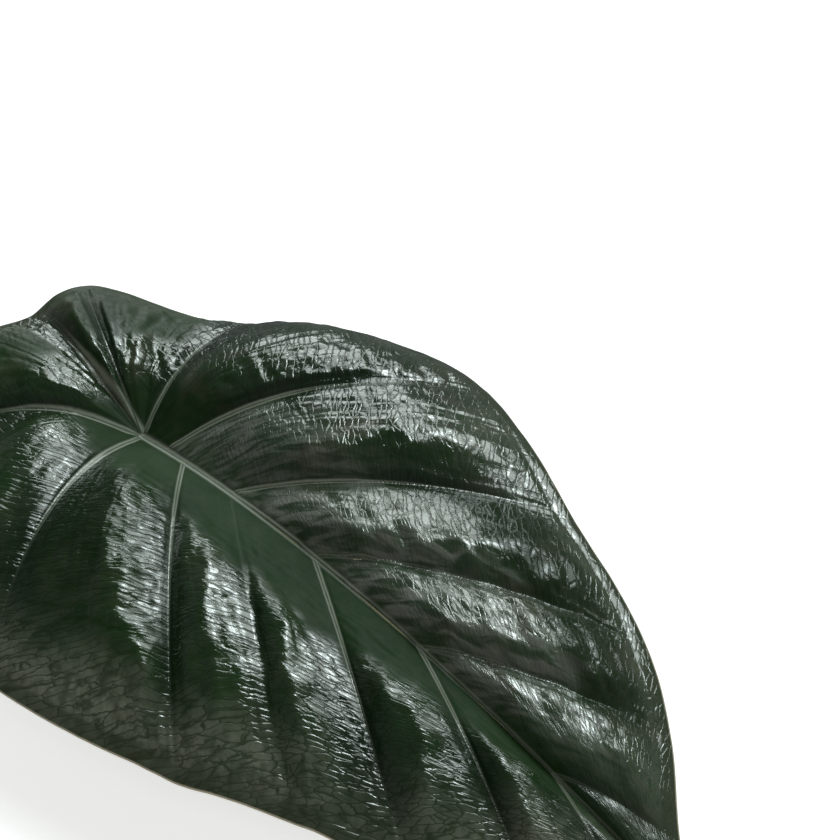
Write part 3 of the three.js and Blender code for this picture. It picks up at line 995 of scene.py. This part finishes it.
def swept(name, lines, tree, sides, flute, material):
    """Lines of (x, y, z, size) made into one mesh by a sweep tree."""
    points, edges, sizes = [], [], []
    for line in lines:
        base = len(points)
        points += [(x * MM, y * MM, z * MM) for x, y, z, _ in line]
        sizes += [size * MM for _, _, _, size in line]
        edges += [(base + n, base + n + 1) for n in range(len(line) - 1)]
    wire = bpy.data.meshes.new(name + "_lines")
    wire.from_pydata(points, edges, [])
    layer = wire.attributes.new("size", "FLOAT", "POINT")
    layer.data.foreach_set("value", sizes)
    draft = bpy.data.objects.new(name + "_draft", wire)
    bpy.context.scene.collection.objects.link(draft)
    modifier = draft.modifiers.new("sweep", "NODES")
    modifier.node_group = tree
    given = {"Sides": sides, "Flute": flute, "Finish": material}
    for item in tree.interface.items_tree:
        if item.in_out == "INPUT" and item.name in given:
            modifier[item.identifier] = given[item.name]
    bpy.context.view_layer.update()
    mesh = bpy.data.meshes.new_from_object(draft.evaluated_get(bpy.context.evaluated_depsgraph_get()))
    draft.modifiers.remove(modifier)
    bpy.data.objects.remove(draft)
    mesh.name = name
    mesh.validate()
    return mesh


def rib_lines(blade):
    """Lines of the ribs that stand out below the main veins of one half."""
    lines = []
    for place, force, _, _ in blade.half.veins:
        if force < FAINTEST_RIB:
            continue
        row = nearest_row(place)
        broad = min(1.0, blade.outward[row, -1] / FULL_BREADTH)
        line = []
        for j in range(4, int(COLUMNS * 0.93), 2):
            x, y, z = blade.low[row, j] + JOINT
            depth = RIB_DEPTH * force * (1 - OUT_AT[j]) * broad
            size = 0.5 * (depth + 0.7)
            highest = blade.top[row, j, 2] + JOINT[2] - 0.5 - size
            line.append((x, y, min(z - depth + size, highest), size))
        lines.append(line)
    return lines


def midrib_line(blade):
    """Line of the midrib below the blade, from just beyond the joint to just before the tip."""
    line = []
    for i in range(0, ROWS, 2):
        if ROW_AT[i] < MIDRIB_FROM or ROW_AT[i] > MIDRIB_TO:
            continue
        x, y, z = blade.low[i, 0] + JOINT
        along = JOINT[1] - y
        depth = MIDRIB_DEPTH * (1 - along / TIP_REACH)
        size = 0.5 * (depth + 0.8)
        highest = blade.top[i, 0, 2] + JOINT[2] - 0.6 - size
        line.append((x, y, min(z - depth * smooth((along - 6.0) / 20.0) + size, highest), size))
    return line


def stalk_line():
    """Down from the joint, round the bend, and back along the ground to the cut end."""
    x, y, top = JOINT[0], JOINT[1], JOINT[2] + JOINT_LEVEL
    straight = top - STALK_TOP - STALK_BEND
    line = [(x, y, top + 0.5, STALK_TOP + STALK_SWELLING)]
    for part in np.arange(1, 7) / 6:
        line.append((x, y, top - straight * part, STALK_TOP + STALK_SWELLING * (1 - smooth(part))))
    for angle in np.arange(1, 13) / 12 * math.pi / 2:
        back = STALK_BEND * (1 - math.cos(angle))
        line.append((x, y + back, top - straight - STALK_BEND * math.sin(angle), STALK_TOP))
    for part in np.arange(1, 41) / 40:
        size = STALK_TOP + (STALK_CUT - STALK_TOP) * part
        back = STALK_BEND + (STALK_REACH - STALK_BEND - 0.8) * part
        line.append((x, y + back, size, size))
    line.append((x, y + STALK_REACH - 0.3, STALK_CUT, STALK_CUT - 0.15))
    line.append((x, y + STALK_REACH, STALK_CUT, STALK_CUT - 0.5))
    return line


def add_piece(name, mesh, node):
    piece = bpy.data.objects.new(name, mesh)
    bpy.context.scene.collection.objects.link(piece)
    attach(piece, "root")
    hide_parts(node)
    return piece


def lay_floor():
    mesh = bpy.data.meshes.new("floor")
    mesh.from_pydata([(-6, -6, 0), (6, -6, 0), (6, 6, 0), (-6, 6, 0)], [], [(0, 1, 2, 3)])
    mesh.materials.append(finish("pale_floor", pale_floor, **{
        "Roughness": 0.7, "Specular IOR Level": 0.1,
        "Emission Color": WHITE, "Emission Strength": 0.6}))
    floor = bpy.data.objects.new("floor", mesh)
    floor.location = (0, 0, -0.0002)
    floor.visible_glossy = False
    bpy.context.scene.collection.objects.link(floor)


def fill_studio():
    """White behind the leaf, and only a little light from all round."""
    world = bpy.data.worlds.new("studio")
    world.use_nodes = True
    world.node_tree.nodes.clear()
    sky = Bench(world.node_tree)
    dim = sky.node("ShaderNodeBackground", {}, {"Color": COOL_WHITE, "Strength": 0.12})
    pale = sky.node("ShaderNodeBackground", {}, {"Color": WHITE, "Strength": 1.1})
    seen = sky.node("ShaderNodeLightPath")
    both = sky.node("ShaderNodeMixShader", {}, {0: seen, 1: dim, 2: pale})
    sky.node("ShaderNodeOutputWorld", {}, {"Surface": both})
    bpy.context.scene.world = world


def soft_light(name, comes_from, spread, strength, colour, glossy=True):
    lamp = bpy.data.lights.new(name, "SUN")
    lamp.angle = math.radians(spread)
    lamp.energy = strength
    lamp.color = colour
    holder = bpy.data.objects.new(name, lamp)
    holder.location = comes_from
    holder.rotation_euler = Vector(comes_from).to_track_quat("Z", "Y").to_euler()
    holder.visible_glossy = glossy
    bpy.context.scene.collection.objects.link(holder)


def place_camera():
    flat = math.cos(ELEVATION)
    back = Vector((math.sin(AZIMUTH) * flat, -math.cos(AZIMUTH) * flat, math.sin(ELEVATION)))
    level = Vector((math.cos(AZIMUTH), math.sin(AZIMUTH), 0.0))
    rise = back.cross(level)
    right = level * math.cos(ROLL) + rise * math.sin(ROLL)
    up = rise * math.cos(ROLL) - level * math.sin(ROLL)
    lens = bpy.data.cameras.new("camera")
    lens.sensor_fit = "HORIZONTAL"
    lens.sensor_width = 36.0
    lens.lens = FOCAL / PHOTO_WIDTH * lens.sensor_width
    lens.clip_start = 0.01
    camera = bpy.data.objects.new("camera", lens)
    camera.matrix_world = Matrix((
        (right.x, up.x, back.x, CAMERA_PLACE.x),
        (right.y, up.y, back.y, CAMERA_PLACE.y),
        (right.z, up.z, back.z, CAMERA_PLACE.z),
        (0.0, 0.0, 0.0, 1.0),
    ))
    bpy.context.scene.collection.objects.link(camera)
    bpy.context.scene.camera = camera


# Blade
right_half = HalfBlade(RIGHT)
left_half = HalfBlade(LEFT)
leaf_upper = finish("leaf_upper", upper_face, **{"Coat Roughness": 0.16})
leaf_under = finish("leaf_under", lower_face)
add_piece("blade", blade_mesh([right_half, left_half], leaf_upper, leaf_under), "leaf_blade")

# Ribs that stand out below the blade
ribs = rib_lines(right_half) + rib_lines(left_half) + [midrib_line(right_half)]
ribs_finish = finish("rib_skin", rib_skin)
ribs_mesh = swept("under_ribs", ribs, sweep_tree("rib_sweep", 0), RIB_SIDES, 0.0, ribs_finish)
add_piece("under_ribs", ribs_mesh, "leaf_blade")

# Stalk
stalk_finish = finish("stalk_skin", stalk_skin)
stalk_tree = sweep_tree("stalk_sweep", STALK_FLUTES)
stalk_mesh = swept("stalk", [stalk_line()], stalk_tree, STALK_SIDES, STALK_FLUTE_DEPTH, stalk_finish)
add_piece("stalk", stalk_mesh, "petiole")

# Floor, light and camera
lay_floor()
fill_studio()
soft_light("bright_wall", (1.47, 0.56, 1.23), 42, 2.42, (0.90, 1.0, 0.96))
soft_light("low_window", (1.16, 1.53, 0.55), 24, 0.61, (0.90, 1.0, 0.96))
soft_light("window", (1.43, 0.49, 1.31), 13, 1.0, (0.87, 1.0, 1.0))
soft_light("front_fill", (-0.9, -1.5, 1.4), 70, 1.1, (1.0, 1.0, 0.94), glossy=False)
bpy.context.scene.view_settings.view_transform = "Standard"
place_camera()
